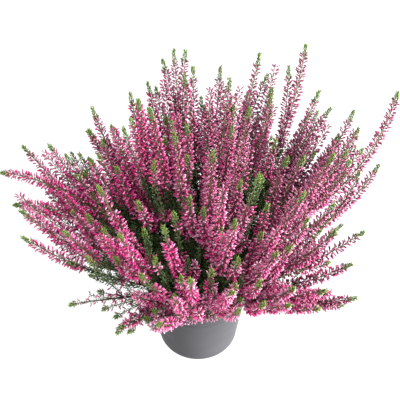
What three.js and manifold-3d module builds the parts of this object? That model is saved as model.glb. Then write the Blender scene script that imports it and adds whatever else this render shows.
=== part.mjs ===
// A potted heather (Calluna vulgaris): seven woody plantlets rooted in a round grey pot of peat. Each
// plantlet is one node of branches with leafy twigs, and each branch ends in a plume, a node of one to four
// flower spikes. Every floret and leaf is a facet of a slim three-sided shaft, raised to a point.
//
// Millimetres, +Z up, origin at the centre of the pot's underside. -Y is the plant's front.
import * as THREE from "three";
import { mergeVertices } from "three/addons/utils/BufferGeometryUtils.js";
import Module from "manifold-3d";

const wasm = await Module();
wasm.setup();

// ---------------------------------------------------------------- driving dimensions
const POT_HEIGHT = 89;
const POT_FOOT_RADIUS = 40; // where the wall would meet the table if the edge weren't rounded
const POT_TAPER = 0.14; // growth of the radius for each millimetre of height
const POT_EDGE_ROUNDING = 12;
const OUTER_ROUNDING = [0, 30, 60, 90]; // degrees round its quarter circle
const INNER_ROUNDING = [20, 90];
const POT_WALL = 1.8;
const POT_FLOOR = 2.2;
const POT_SIDES = 24;
const LIP_OUT = 1.2; // the rolled lip stands this far out of the wall
const LIP_HEIGHT = 4;
const GROOVE_HEIGHTS = [73.6, 78, 82.4];
const GROOVE_DEPTH = 0.7;
const GROOVE_HALF_WIDTH = 1.1;
const DRAIN_HOLE_RADIUS = 4;
const DRAIN_HOLE_RING = 17;
const DRAIN_HOLES = 4;

const SOIL_TOP = 78;
const SOIL_EDGE_DROP = 1.5; // the soil lies this much lower along the wall
const SOIL_BUMP = 1.1;
const CLEARANCE = 0.35; // gap kept between two pieces that touch

const TRUNK_RADIUS = 2.8;
const TRUNK_HOLE_RADIUS = 3.4;
const TRUNK_SIDES = 6;
const TRUNK_DEPTH = 18; // below the soil's surface
const TRUNK_RISE = 7; // above it
const TRUNK_RING = 19; // the outer trunks stand on this circle, one more in its middle
const TRUNK_RING_TURN = 30; // degrees, of the first of them
const OUTER_TRUNKS = 6;
const INNER_REACH = 80; // shoots that end nearer to the axis than this grow from the middle trunk

const BEND = [0.6, 0.36]; // share of the way out, and of the way up, at which a main path bends upwards
const OVER_LIP = 37; // least rise of a path's middle, which carries it over the pot's lip
const BRANCH_RADIUS = 1.25; // at the trunk
const BRANCH_OFFSET = 1.3; // from the trunk's axis to a branch's start
const BRANCH_LEAF_RADIUS = 3;
const BRANCH_LEAF_LEAN = 2.2;
const LEAFY_FROM = 0.55; // share of a branch where its leaves begin

const BLOOM_FROM = 0.44; // share of a main path where its flowers begin
const BLOOM_STEP = 0.02; // they begin up to seven such steps later where there is no room for them
const BLOOM_STEPS = 8;
const CORE_RADIUS = 2.1; // of a spike, where its florets begin
const SPIKE_FOOT_RADIUS = 5; // of the florets' points
const SPIKE_RADIUS = 8.8;
const SPIKE_TOP_RADIUS = 5;
const SPIKE_SWELL = 0.2; // share of a spike that it takes to come to its full radius
const SPIKE_BARE = 11; // length of its leafless foot, where its side spikes leave it
const FLORET_LEAN = 3.4; // how far a floret's point lies up the spike from its root
const WHORL_GAP = 29.4; // along a spike, for two whorls of three florets
const TIP_LENGTH = 11; // the green leafy end of every spike
const TIP_RADIUS = 2.9;
const TIP_LEAN = 1.6;

// Side shoots leave at the angle "open" and end at "rest", in degrees off their parent, turned up by "lift".
const SIDE = { open: [38, 50], rest: [17, 28], lift: 0.45, share: [0.6, 0.88], rollSpread: 2.4, tries: 60 };
const TWIG = { open: 58, rest: 40, lift: 0.3, length: [15, 22], from: [0.22, 0.37], tries: 6 };
const TWIG_EVERY = 2; // one shoot in this many carries a leafy twig
const TWIG_LEAF_RADIUS = 2.7;
const TWIG_LEAF_LEAN = 2.6;
const AIMED_FROM = 0.5; // share of a shoot's bare foot where its aimed side spikes leave
const SIDE_BEND = 0.45; // share of a side shoot's length where it bends
const LEAST_RISE = 10; // of a side shoot, from its start to its tip

const SEED = 20261;
const SHOOT_TRIES = 400;
const SHOOT_STRAY = 9; // millimetres and degrees that a main shoot may stray in its last try
const SAMPLE_GAP = 4; // spacing of the balls that keep shoots clear of each other
const CLEAR_OF_TRUNK = 0.14; // share of a main path after which it has to be clear of others
const CLEAR_OF_PARENT = 0.15;
const STEM_BALL = 2.9;
const TWIG_BALL = 3.1;
const SPIKE_MARGIN = 0.6;

// Main shoots: [turn about +Z from +X in degrees, reach from the axis, height of the tip, side spikes]. A
// fifth value takes the place of BEND, for shoots that first rise and then lean over, or the other way.
const SHOOTS = [
  // left
  [211, 142, 136, 1], [197, 169, 204, 0], [187, 168, 210, 1], [174, 189, 220, 0, [0.6, 1]],
  [165, 148, 241, 1], [156, 195, 204, 1, [0.6, 0.25]], [178, 178, 190, 0, [0.6, 1.05]],
  // back left and top
  [145, 126, 260, 2], [154, 78, 266, 1], [134, 93, 282, 0], [117, 108, 272, 2], [100, 141, 280, 1],
  [93, 88, 297, 0], [80, 132, 266, 2], [65, 147, 280, 1], [51, 170, 290, 0, [0.9, 0.36]], [8, 142, 248, 2],
  [69, 86, 289, 1], [128, 165, 170, 1],
  // right
  [39.7, 157, 258, 1], [31, 182, 238, 1, [0.75, 0.26]], [24, 213, 266, 0, [0.95, 0.3]],
  [13, 182, 212, 0, [0.8, 0.3]], [344, 160, 206, 2], [333, 158, 192, 1], [325, 175, 178, 0],
  [21, 168, 244, 1, [0.75, 0.26]],
  // front
  [235, 127, 138, 2], [255, 134, 176, 1], [267, 124, 230, 2], [247, 125, 226, 2], [234, 114, 252, 2],
  [209, 100, 268, 2], [211, 138, 234, 2], [252, 96, 262, 2], [290, 94, 266, 2], [327, 110, 272, 2],
  [358, 124, 266, 1], [329, 142, 236, 2], [303, 124, 242, 2], [284, 125, 212, 2], [307, 140, 204, 1],
  [319, 152, 188, 0],
  // middle
  [215, 25, 300, 2], [290, 40, 300, 2], [314, 76, 288, 2], [150, 50, 295, 1], [25, 52, 300, 1],
  // back
  [72, 176, 205, 1], [98, 180, 182, 2], [50, 186, 196, 0],
];

// Side spikes with a place of their own: [number of the shoot, turn, reach, height of the tip].
const AIMED = [
  [2, 200, 132, 166], [5, 163, 134, 228], [8, 151, 124, 240], [10, 133, 83, 278], [12, 106, 128, 279],
  [12, 96, 113, 298], [13, 100, 76, 297], [15, 60, 142, 262], [16, 55, 159, 266], [20, 30, 151, 256],
  [23, 7, 155, 223],
];

// ---------------------------------------------------------------- small helpers
const UP = new THREE.Vector3(0, 0, 1);
const wallRadius = (height) => POT_FOOT_RADIUS + POT_TAPER * height;
const radians = THREE.MathUtils.degToRad;
const mix = THREE.MathUtils.lerp;
const draw = ([least, most]) => mix(least, most, random());
const add = (a, b, scale = 1) => a.clone().addScaledVector(b, scale);

/** A linear congruential generator, so that the plant grows the same way every time. */
function randomFrom(seed) {
  let state = seed;
  return () => {
    state = (Math.imul(state, 1664525) + 1013904223) >>> 0;
    return state / 4294967296;
  };
}

function solidFrom(vertices, triangles) {
  const mesh = new wasm.Mesh({
    numProp: 3,
    vertProperties: new Float32Array(vertices),
    triVerts: new Uint32Array(triangles),
  });
  return new wasm.Manifold(mesh);
}

/** A closed three.js geometry as a solid, with shared vertices merged and collapsed triangles dropped. */
function solidOf(geometry) {
  const bare = geometry.clone().deleteAttribute("normal").deleteAttribute("uv");
  const merged = mergeVertices(bare, 1e-3);
  const index = merged.index.array;
  const triangles = [];
  for (let i = 0; i < index.length; i += 3) {
    const [a, b, c] = index.slice(i, i + 3);
    if (a !== b && b !== c && c !== a) triangles.push(a, b, c);
  }
  return solidFrom(merged.attributes.position.array, triangles);
}

/** Solids joined into one body. A hollow that the join seals is filled. */
function joined(solids) {
  const bodies = solids.reduce((whole, next) => whole.add(next)).decompose();
  return bodies.reduce((best, body) => (body.volume() > best.volume() ? body : best));
}

function meshOf(name, solid, material) {
  const made = solid.getMesh();
  const geometry = new THREE.BufferGeometry();
  geometry.setAttribute("position", new THREE.BufferAttribute(new Float32Array(made.vertProperties), 3));
  geometry.setIndex(new THREE.BufferAttribute(new Uint32Array(made.triVerts), 1));
  geometry.computeVertexNormals();
  const mesh = new THREE.Mesh(geometry, material);
  mesh.name = name;
  return mesh;
}

function prism(radius, sides, bottom, top, x, y, topRadius = radius) {
  const geometry = new THREE.CylinderGeometry(topRadius, radius, top - bottom, sides);
  geometry.rotateX(Math.PI / 2);
  geometry.translate(x, y, (top + bottom) / 2);
  return solidOf(geometry);
}

/** A body of revolution about +Z, from a profile of [radius, height] pairs that ends on the axis. */
function turned(profile) {
  const points = profile.map(([radius, height]) => new THREE.Vector2(radius, height));
  return new THREE.LatheGeometry(points, POT_SIDES).rotateX(Math.PI / 2);
}

// ---------------------------------------------------------------- paths
/** A shoot's centre line: a quadratic curve, with a sideways direction that its facets are turned from. */
function pathOf(start, bend, end, across) {
  const length = (start.distanceTo(bend) + bend.distanceTo(end) + start.distanceTo(end)) / 2;
  return { start, bend, end, across, length };
}

function pointAt(path, t) {
  const point = path.start.clone().multiplyScalar((1 - t) * (1 - t));
  return point.addScaledVector(path.bend, 2 * t * (1 - t)).addScaledVector(path.end, t * t);
}

function frameAt(path, t) {
  const along = path.bend.clone().sub(path.start).multiplyScalar(1 - t);
  along.addScaledVector(path.end.clone().sub(path.bend), t).normalize();
  const side = add(path.across, along, -path.across.dot(along)).normalize();
  return { along, side, over: new THREE.Vector3().crossVectors(along, side) };
}

/** The point at a distance out of the path, at an angle round it, and a distance further along it. */
function pointRound(path, t, angle, out, lean = 0) {
  const { along, side, over } = frameAt(path, t);
  const point = pointAt(path, t).addScaledVector(side, out * Math.cos(angle));
  return point.addScaledVector(over, out * Math.sin(angle)).addScaledVector(along, lean);
}

// ---------------------------------------------------------------- raised shafts
/**
 * A closed three-sided shaft along a path. rings holds { t, radius, raise }, and raise, { out, lean }, lifts
 * each of the six facets above that ring to a point, as a floret or a leaf. The shaft ends flat at its last
 * ring, or runs on to a point at the path's end.
 */
function shaft(path, rings, pointed) {
  const sides = 3;
  const turn = (2 * Math.PI) / sides;
  const vertices = [];
  const triangles = [];
  const vertex = (point) => vertices.push(point.x, point.y, point.z) / 3 - 1;
  const angleOf = (ring, corner) => (corner + (ring % 2) / 2) * turn;
  const corners = rings.map(({ t, radius }, ring) =>
    [0, 1, 2].map((corner) => vertex(pointRound(path, t, angleOf(ring, corner), radius))),
  );
  const corner = (ring, i) => corners[ring][(i + sides) % sides];
  const facet = (a, b, c, raised) => {
    if (!raised) {
      triangles.push(a, b, c);
      return;
    }
    const point = vertex(raised);
    triangles.push(a, b, point, b, c, point, c, a, point);
  };
  triangles.push(corner(0, 0), corner(0, 2), corner(0, 1));
  for (let ring = 0; ring + 1 < rings.length; ring += 1) {
    const { t, raise } = rings[ring];
    const nextT = rings[ring + 1].t;
    const shift = ring % 2; // odd rings are turned by half a side
    const lifted = (share, angle) =>
      raise && pointRound(path, mix(t, nextT, share), angle, raise.out, raise.lean);
    for (let i = 0; i < sides; i += 1) {
      const [a, b] = [corner(ring, i), corner(ring, i + 1)];
      const [c, d] = [corner(ring + 1, i + shift), corner(ring + 1, i + 1 + shift)];
      facet(a, b, c, lifted(0.25, angleOf(ring, i + 0.5)));
      facet(b, d, c, lifted(0.75, angleOf(ring, i + 1)));
    }
  }
  const last = rings.length - 1;
  if (pointed) {
    const { t, raise } = rings[last];
    const tip = vertex(path.end);
    for (let i = 0; i < sides; i += 1) {
      const angle = angleOf(last, i + 0.5);
      const leaf = raise && pointRound(path, mix(t, 1, 0.35), angle, raise.out, raise.lean);
      facet(corner(last, i), corner(last, i + 1), tip, leaf);
    }
  } else {
    triangles.push(corner(last, 0), corner(last, 1), corner(last, 2));
  }
  return solidFrom(vertices, triangles);
}

/** Radius of the florets' points at a share of the way up a spike: slim at both ends. */
function spikeRadius(share) {
  const swelling = mix(SPIKE_FOOT_RADIUS, SPIKE_RADIUS, share / SPIKE_SWELL);
  return Math.min(swelling, mix(SPIKE_RADIUS, SPIKE_TOP_RADIUS, share));
}

/** A flower spike from the path's share "from": bare at its foot, then florets, then the green tip. */
function spikeSolid(path, from) {
  const tipFrom = 1 - TIP_LENGTH / path.length;
  const bloomFrom = from + SPIKE_BARE / path.length;
  const gaps = Math.max(2, Math.round(((tipFrom - bloomFrom) * path.length) / WHORL_GAP));
  const rings = [{ t: from, radius: BRANCH_RADIUS * 0.9 }];
  for (let i = 0; i < gaps; i += 1) {
    const t = mix(bloomFrom, tipFrom, i / gaps);
    const raise = { out: spikeRadius((i + 0.5) / gaps), lean: FLORET_LEAN };
    rings.push({ t, radius: CORE_RADIUS * mix(1, 0.6, i / gaps), raise });
  }
  rings.push({ t: tipFrom, radius: CORE_RADIUS * 0.55, raise: { out: TIP_RADIUS, lean: TIP_LEAN } });
  return shaft(path, rings, true);
}

/** A branch from its trunk to just under the plume. */
function branchSolid(path, to) {
  const end = to - CLEARANCE / path.length;
  const raise = { out: BRANCH_LEAF_RADIUS, lean: BRANCH_LEAF_LEAN };
  const rings = [
    { t: 0, radius: BRANCH_RADIUS },
    { t: end * LEAFY_FROM, radius: BRANCH_RADIUS * 0.9, raise },
    { t: end, radius: BRANCH_RADIUS * 0.8 },
  ];
  return shaft(path, rings, false);
}

function twigSolid(path) {
  const raise = { out: TWIG_LEAF_RADIUS, lean: TWIG_LEAF_LEAN };
  const rings = [
    { t: 0, radius: 0.6 },
    { t: 0.2, radius: 0.9, raise },
    { t: 0.65, radius: 0.7, raise },
  ];
  return shaft(path, rings, true);
}

// ---------------------------------------------------------------- growth
const random = randomFrom(SEED);
const balls = []; // { x, y, z, radius, owner }, along everything that has grown

/** Balls along a path between two shares of it, for the test that nodes stay clear of each other. */
function ballsAlong(path, from, to, radiusAt, owner) {
  const count = Math.max(1, Math.ceil(((to - from) * path.length) / SAMPLE_GAP));
  const made = [];
  for (let i = 0; i <= count; i += 1) {
    const { x, y, z } = pointAt(path, mix(from, to, i / count));
    made.push({ x, y, z, radius: radiusAt(i / count), owner });
  }
  return made;
}

// Balls along the pot's lip, which everything that grows has to pass over.
for (let turn = 0; turn < 360; turn += 5) {
  const radius = wallRadius(POT_HEIGHT) - POT_WALL / 2;
  const [x, y] = [radius * Math.cos(radians(turn)), radius * Math.sin(radians(turn))];
  balls.push({ x, y, z: POT_HEIGHT - 1, radius: POT_WALL / 2 + LIP_OUT, owner: "pot" });
}

const spikeBalls = (path, from, owner) =>
  ballsAlong(path, from, 1, (share) => spikeRadius(share) + SPIKE_MARGIN, owner);

const isClear = (candidate) =>
  candidate.every((a) =>
    balls.every((b) => {
      if (a.owner === b.owner) return true;
      const reach = a.radius + b.radius;
      return (a.x - b.x) ** 2 + (a.y - b.y) ** 2 + (a.z - b.z) ** 2 > reach * reach;
    }),
  );

// Where the trunks stand: the middle one first, then the outer ring.
const trunks = [new THREE.Vector3(0, 0, SOIL_TOP + TRUNK_RISE * 0.6)];
for (let i = 0; i < OUTER_TRUNKS; i += 1) {
  const turn = radians(TRUNK_RING_TURN + (360 * i) / OUTER_TRUNKS);
  trunks.push(new THREE.Vector3(TRUNK_RING * Math.cos(turn), TRUNK_RING * Math.sin(turn), trunks[0].z));
}

/** The trunk that carries a shoot: the middle one for the steep shoots, else the outer one on its side. */
function trunkFor(turn, reach) {
  if (reach < INNER_REACH) return 0;
  const sector = ((turn - TRUNK_RING_TURN) / 360) * OUTER_TRUNKS;
  return 1 + (Math.round(sector + OUTER_TRUNKS) % OUTER_TRUNKS);
}

/** A tip at a turn, reach and height, which stray more with every try. */
function strayedTip(turnDegrees, reach, height, attempt) {
  const swing = (SHOOT_STRAY * attempt) / SHOOT_TRIES;
  const stray = () => swing * (random() * 2 - 1);
  const turn = radians(turnDegrees + stray());
  const out = reach + stray();
  return new THREE.Vector3(out * Math.cos(turn), out * Math.sin(turn), height + stray());
}

/**
 * The path of a main shoot to its tip: it leaves the trunk outwards and turns up. Each starts off the trunk's
 * axis, on its own side, and the steeper it is the higher up.
 */
function mainPath(trunk, end, [bendOut, bendUp] = BEND) {
  const away = end.clone().sub(trunks[trunk]);
  const steepness = Math.atan2(away.z, Math.hypot(away.x, away.y)) / (Math.PI / 2);
  const outward = away.setZ(0).normalize();
  const start = add(trunks[trunk], outward, BRANCH_OFFSET);
  start.z = SOIL_TOP + TRUNK_RISE * mix(0.1, 0.9, steepness);
  const bend = start.clone().lerp(end, bendOut);
  bend.z = Math.max(mix(start.z, end.z, bendUp), start.z + OVER_LIP);
  return pathOf(start, bend, end, new THREE.Vector3(-end.y, end.x, 0).normalize());
}

/**
 * A path that leaves another at share t and at the angle "open", on the side "roll". It ends up at the angle
 * "rest", and turned up towards the light by "lift".
 */
function sidePath(parent, { t, length, roll, open, rest, lift }) {
  const { along, side, over } = frameAt(parent, t);
  const outward = side.clone().multiplyScalar(Math.cos(roll)).addScaledVector(over, Math.sin(roll));
  const start = pointAt(parent, t);
  const heading = (degrees, up) =>
    along
      .clone()
      .multiplyScalar(Math.cos(radians(degrees)))
      .addScaledVector(outward, Math.sin(radians(degrees)))
      .addScaledVector(UP, up)
      .normalize();
  const bend = add(start, heading(open, 0), length * SIDE_BEND);
  const across = new THREE.Vector3().crossVectors(along, outward);
  return pathOf(start, bend, add(start, heading(rest, lift), length), across);
}

/** A path that leaves another at share t, in its direction, and turns towards an end of its own. */
function aimedPath(parent, t, end) {
  const start = pointAt(parent, t);
  const { along } = frameAt(parent, t);
  const away = end.clone().sub(start);
  const bend = add(start, along, away.length() * SIDE_BEND);
  return pathOf(start, bend, end, new THREE.Vector3().crossVectors(along, away).normalize());
}

/**
 * Grows a main shoot at its place, or in the first clear place near it. Its flowers begin higher up where its
 * neighbours leave no room for them.
 */
function growShoot([turn, reach, height, sideSpikes, bend], number) {
  const trunk = trunkFor(turn, reach);
  const plantletOwner = "plantlet_" + (trunk + 1);
  const plumeOwner = "plume_" + String(number).padStart(2, "0");
  for (let attempt = 0; attempt < SHOOT_TRIES; attempt += 1) {
    const end = strayedTip(turn, reach, height, attempt);
    const main = mainPath(trunk, end, bend);
    const bloomFrom = BLOOM_FROM + BLOOM_STEP * (attempt % BLOOM_STEPS);
    const fresh = [
      ...ballsAlong(main, CLEAR_OF_TRUNK, bloomFrom, () => STEM_BALL, plantletOwner),
      ...spikeBalls(main, bloomFrom, plumeOwner),
    ];
    if (isClear(fresh)) {
      balls.push(...fresh);
      return { plantletOwner, plumeOwner, main, bloomFrom, sideSpikes, sides: [] };
    }
  }
  throw new Error("no clear place for shoot " + number);
}

/** The first of some seeded tries at a path that rises and is clear of all else, or null. */
function growSide(makePath, makeBalls, tries) {
  for (let attempt = 0; attempt < tries; attempt += 1) {
    const candidate = makePath(attempt);
    const fresh = makeBalls(candidate);
    if (candidate.end.z > candidate.start.z + LEAST_RISE && isClear(fresh)) {
      balls.push(...fresh);
      return candidate;
    }
  }
  return null;
}

const shoots = SHOOTS.map((row, i) => growShoot(row, i + 1));

/** A seeded try at a side spike on a shoot's bare foot, roughly on the side "roll". */
function trySide(main, bloomFrom, roll) {
  const t = bloomFrom + (SPIKE_BARE * draw([0.1, 0.85])) / main.length;
  return sidePath(main, {
    t,
    length: main.length * (1 - t) * draw(SIDE.share),
    roll: roll + (random() - 0.5) * SIDE.rollSpread,
    open: draw(SIDE.open),
    rest: draw(SIDE.rest),
    lift: SIDE.lift,
  });
}

/** A seeded try at a leafy twig on a shoot's branch. */
function tryTwig(main) {
  const { open, rest, lift } = TWIG;
  return sidePath(main, {
    t: draw(TWIG.from),
    length: draw(TWIG.length),
    roll: random() * 2 * Math.PI,
    open,
    rest,
    lift,
  });
}

for (const [number, turn, reach, height] of AIMED) {
  const { main, bloomFrom, sides, plumeOwner } = shoots[number - 1];
  const t = bloomFrom + (SPIKE_BARE * AIMED_FROM) / main.length;
  const side = growSide(
    (attempt) => aimedPath(main, t, strayedTip(turn, reach, height, attempt)),
    (path) => spikeBalls(path, CLEAR_OF_PARENT, plumeOwner),
    SHOOT_TRIES,
  );
  if (!side) throw new Error("no clear place for the aimed side spike at turn " + turn);
  sides.push(side);
}

for (const { main, bloomFrom, sideSpikes, sides, plumeOwner } of shoots) {
  for (let i = 0; i < sideSpikes; i += 1) {
    const roll = Math.PI * (i + 0.5) + random();
    const side = growSide(
      () => trySide(main, bloomFrom, roll),
      (path) => spikeBalls(path, CLEAR_OF_PARENT, plumeOwner),
      SIDE.tries,
    );
    if (side) sides.push(side);
  }
}

const twigs = [];
for (const { main, plantletOwner } of shoots.filter((_, i) => i % TWIG_EVERY === 0)) {
  const twig = growSide(
    () => tryTwig(main),
    (path) => ballsAlong(path, CLEAR_OF_PARENT, 1, () => TWIG_BALL, plantletOwner),
    TWIG.tries,
  );
  if (twig) twigs.push({ owner: plantletOwner, path: twig });
}

// ---------------------------------------------------------------- pot and soil
/** Points round the lower edge of the pot's wall, moved inwards by an inset and cut off at the floor. */
function roundedFoot(inset, floor, steps) {
  const rounding = POT_EDGE_ROUNDING - inset;
  const edge = wallRadius(POT_EDGE_ROUNDING) - POT_EDGE_ROUNDING;
  return steps.map((degrees) => {
    const turn = radians(degrees);
    const height = POT_EDGE_ROUNDING - rounding * Math.cos(turn);
    return [edge + rounding * Math.sin(turn), Math.max(floor, height)];
  });
}

function potSolid() {
  const grooves = [];
  for (const height of GROOVE_HEIGHTS) {
    grooves.push([wallRadius(height - GROOVE_HALF_WIDTH), height - GROOVE_HALF_WIDTH]);
    grooves.push([wallRadius(height) - GROOVE_DEPTH, height]);
    grooves.push([wallRadius(height + GROOVE_HALF_WIDTH), height + GROOVE_HALF_WIDTH]);
  }
  const lipFoot = POT_HEIGHT - LIP_HEIGHT;
  const rimRadius = wallRadius(POT_HEIGHT);
  const profile = [
    [0, 0],
    ...roundedFoot(0, 0, OUTER_ROUNDING),
    ...grooves,
    [wallRadius(lipFoot), lipFoot],
    [rimRadius + LIP_OUT, lipFoot + LIP_OUT],
    [rimRadius + LIP_OUT, POT_HEIGHT - 0.6],
    [rimRadius - POT_WALL, POT_HEIGHT],
    ...roundedFoot(POT_WALL, POT_FLOOR, INNER_ROUNDING).reverse(),
    [0, POT_FLOOR],
  ];
  let pot = solidOf(turned(profile));
  for (let i = 0; i < DRAIN_HOLES; i += 1) {
    const turn = radians(45 + (360 * i) / DRAIN_HOLES);
    const x = DRAIN_HOLE_RING * Math.cos(turn);
    const y = DRAIN_HOLE_RING * Math.sin(turn);
    pot = pot.subtract(prism(DRAIN_HOLE_RADIUS, 6, -1, POT_FLOOR + 1, x, y));
  }
  return pot;
}

/** Height of the soil's uneven top above its mean. */
const bump = (x, y) => SOIL_BUMP * Math.sin(x * 0.21 + 1) * Math.cos(y * 0.17 + x * 0.05);

function soilSolid() {
  const inset = POT_WALL + CLEARANCE;
  const brim = wallRadius(SOIL_TOP) - inset;
  const profile = [
    [0, POT_FLOOR + CLEARANCE],
    ...roundedFoot(inset, POT_FLOOR + CLEARANCE, INNER_ROUNDING),
    [brim, SOIL_TOP - SOIL_EDGE_DROP],
    [brim * 0.8, SOIL_TOP],
    [brim * 0.45, SOIL_TOP],
    [0, SOIL_TOP],
  ];
  const geometry = turned(profile);
  const position = geometry.attributes.position;
  for (let i = 0; i < position.count; i += 1) {
    const z = position.getZ(i);
    if (z > SOIL_TOP - 0.1) position.setZ(i, z + bump(position.getX(i), position.getY(i)));
  }
  let soil = solidOf(geometry);
  for (const { x, y } of trunks) {
    soil = soil.subtract(prism(TRUNK_HOLE_RADIUS, TRUNK_SIDES, SOIL_TOP - TRUNK_DEPTH, POT_HEIGHT, x, y));
  }
  return soil;
}

// ---------------------------------------------------------------- materials
const material = (name, color, roughness) => {
  const made = new THREE.MeshStandardMaterial({ color, roughness, metalness: 0 });
  made.name = name;
  return made;
};
const potGrey = material("pot_grey", 0x77777c, 0.5);
const peat = material("peat", 0x2b1f17, 0.95);
const foliageGreen = material("foliage_green", 0x3f5a2c, 0.7);
const bloomPink = material("bloom_pink", 0xb8336a, 0.6);

// ---------------------------------------------------------------- the plant, put together
const heather = new THREE.Group();
heather.name = "potted_heather";
heather.add(meshOf("pot", potSolid(), potGrey));
heather.add(meshOf("soil", soilSolid(), peat));

trunks.forEach(({ x, y }, i) => {
  const owner = "plantlet_" + (i + 1);
  const foot = SOIL_TOP - TRUNK_DEPTH + CLEARANCE;
  const trunk = prism(TRUNK_RADIUS * 0.9, TRUNK_SIDES, foot, SOIL_TOP + TRUNK_RISE, x, y, TRUNK_RADIUS);
  const own = shoots.filter((shoot) => shoot.plantletOwner === owner);
  const branches = own.map((shoot) => branchSolid(shoot.main, shoot.bloomFrom));
  const leafy = twigs.filter((twig) => twig.owner === owner).map((twig) => twigSolid(twig.path));
  heather.add(meshOf(owner, joined([trunk, ...branches, ...leafy]), foliageGreen));
});

for (const { plumeOwner, main, bloomFrom, sides } of shoots) {
  const spikes = [spikeSolid(main, bloomFrom), ...sides.map((side) => spikeSolid(side, 0))];
  heather.add(meshOf(plumeOwner, joined(spikes), bloomPink));
}

export default heather;
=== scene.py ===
"""A potted heather: buds, leaves, stems, peat and pot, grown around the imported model's nodes."""

from functools import lru_cache
from math import atan2, ceil, cos, degrees, floor, hypot, pi, radians, sin, sqrt
from random import Random

import bmesh
import bpy
import numpy as np
from bpy.props import FloatProperty, FloatVectorProperty, IntProperty, PointerProperty
from mathutils import Matrix, Vector


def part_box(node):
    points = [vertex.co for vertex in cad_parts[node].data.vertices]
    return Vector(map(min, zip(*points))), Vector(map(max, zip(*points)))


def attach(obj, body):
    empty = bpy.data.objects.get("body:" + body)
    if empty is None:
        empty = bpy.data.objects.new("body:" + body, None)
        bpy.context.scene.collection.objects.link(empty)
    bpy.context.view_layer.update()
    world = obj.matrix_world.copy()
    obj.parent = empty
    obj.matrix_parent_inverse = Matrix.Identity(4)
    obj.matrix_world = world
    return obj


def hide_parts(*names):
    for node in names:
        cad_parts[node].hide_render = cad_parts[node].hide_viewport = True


bl_info = {
    "name": "Potted heather",
    "version": (1, 0, 0),
    "blender": (4, 5, 0),
    "location": "3D View > Sidebar > Heather",
    "description": "Builds a bud-flowering heather in a round plastic pot",
    "category": "Add Mesh",
}

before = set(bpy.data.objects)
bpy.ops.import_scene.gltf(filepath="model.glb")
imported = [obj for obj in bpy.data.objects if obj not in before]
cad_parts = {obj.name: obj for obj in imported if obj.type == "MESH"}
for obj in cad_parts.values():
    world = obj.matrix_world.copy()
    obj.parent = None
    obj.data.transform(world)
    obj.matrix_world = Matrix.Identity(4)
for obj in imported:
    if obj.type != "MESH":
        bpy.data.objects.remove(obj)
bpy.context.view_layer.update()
MM = 0.001

# ---------------------------------------------------------------- the growth, in millimetres
POT_HEIGHT = 89.0
POT_FOOT_RADIUS = 40.0
POT_TAPER = 0.14
POT_WALL = 1.8
LIP_OUT = 1.2
SOIL_TOP = 78.0

TRUNK_RISE = 7.0
TRUNK_RING = 19.0
TRUNK_RING_TURN = 30.0
OUTER_TRUNKS = 6
INNER_REACH = 80.0

BEND = (0.6, 0.36)
OVER_LIP = 37.0
BRANCH_OFFSET = 1.3

BLOOM_FROM = 0.44
BLOOM_STEP = 0.02
BLOOM_STEPS = 8
SPIKE_FOOT_RADIUS = 5.0
SPIKE_RADIUS = 8.8
SPIKE_TOP_RADIUS = 5.0
SPIKE_SWELL = 0.2
SPIKE_BARE = 11.0

SIDE_OPEN = (38.0, 50.0)
SIDE_REST = (17.0, 28.0)
SIDE_LIFT = 0.45
SIDE_SHARE = (0.6, 0.88)
SIDE_ROLL_SPREAD = 2.4
SIDE_TRIES = 60
TWIG_OPEN = 58.0
TWIG_REST = 40.0
TWIG_LIFT = 0.3
TWIG_LENGTH = (15.0, 22.0)
TWIG_FROM = (0.22, 0.37)
TWIG_TRIES = 6
TWIG_EVERY = 2
AIMED_FROM = 0.5
SIDE_BEND = 0.45
LEAST_RISE = 10.0

SEED = 20261
SHOOT_TRIES = 400
SHOOT_STRAY = 9.0
SAMPLE_GAP = 4.0
CLEAR_OF_TRUNK = 0.14
CLEAR_OF_PARENT = 0.15
STEM_BALL = 2.9
TWIG_BALL = 3.1
SPIKE_MARGIN = 0.6

# Main shoots: turn about +Z from +X in degrees, reach from the axis, height of the tip, side spikes. A fifth
# value takes the place of BEND, for shoots that first rise and then lean over, or the other way.
SHOOTS = [
    # left
    (211, 142, 136, 1), (197, 169, 204, 0), (187, 168, 210, 1), (174, 189, 220, 0, (0.6, 1)),
    (165, 148, 241, 1), (156, 195, 204, 1, (0.6, 0.25)), (178, 178, 190, 0, (0.6, 1.05)),
    # back left and top
    (145, 126, 260, 2), (154, 78, 266, 1), (134, 93, 282, 0), (117, 108, 272, 2), (100, 141, 280, 1),
    (93, 88, 297, 0), (80, 132, 266, 2), (65, 147, 280, 1), (51, 170, 290, 0, (0.9, 0.36)), (8, 142, 248, 2),
    (69, 86, 289, 1), (128, 165, 170, 1),
    # right
    (39.7, 157, 258, 1), (31, 182, 238, 1, (0.75, 0.26)), (24, 213, 266, 0, (0.95, 0.3)),
    (13, 182, 212, 0, (0.8, 0.3)), (344, 160, 206, 2), (333, 158, 192, 1), (325, 175, 178, 0),
    (21, 168, 244, 1, (0.75, 0.26)),
    # front
    (235, 127, 138, 2), (255, 134, 176, 1), (267, 124, 230, 2), (247, 125, 226, 2), (234, 114, 252, 2),
    (209, 100, 268, 2), (211, 138, 234, 2), (252, 96, 262, 2), (290, 94, 266, 2), (327, 110, 272, 2),
    (358, 124, 266, 1), (329, 142, 236, 2), (303, 124, 242, 2), (284, 125, 212, 2), (307, 140, 204, 1),
    (319, 152, 188, 0),
    # middle
    (215, 25, 300, 2), (290, 40, 300, 2), (314, 76, 288, 2), (150, 50, 295, 1), (25, 52, 300, 1),
    # back
    (72, 176, 205, 1), (98, 180, 182, 2), (50, 186, 196, 0),
]

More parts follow.
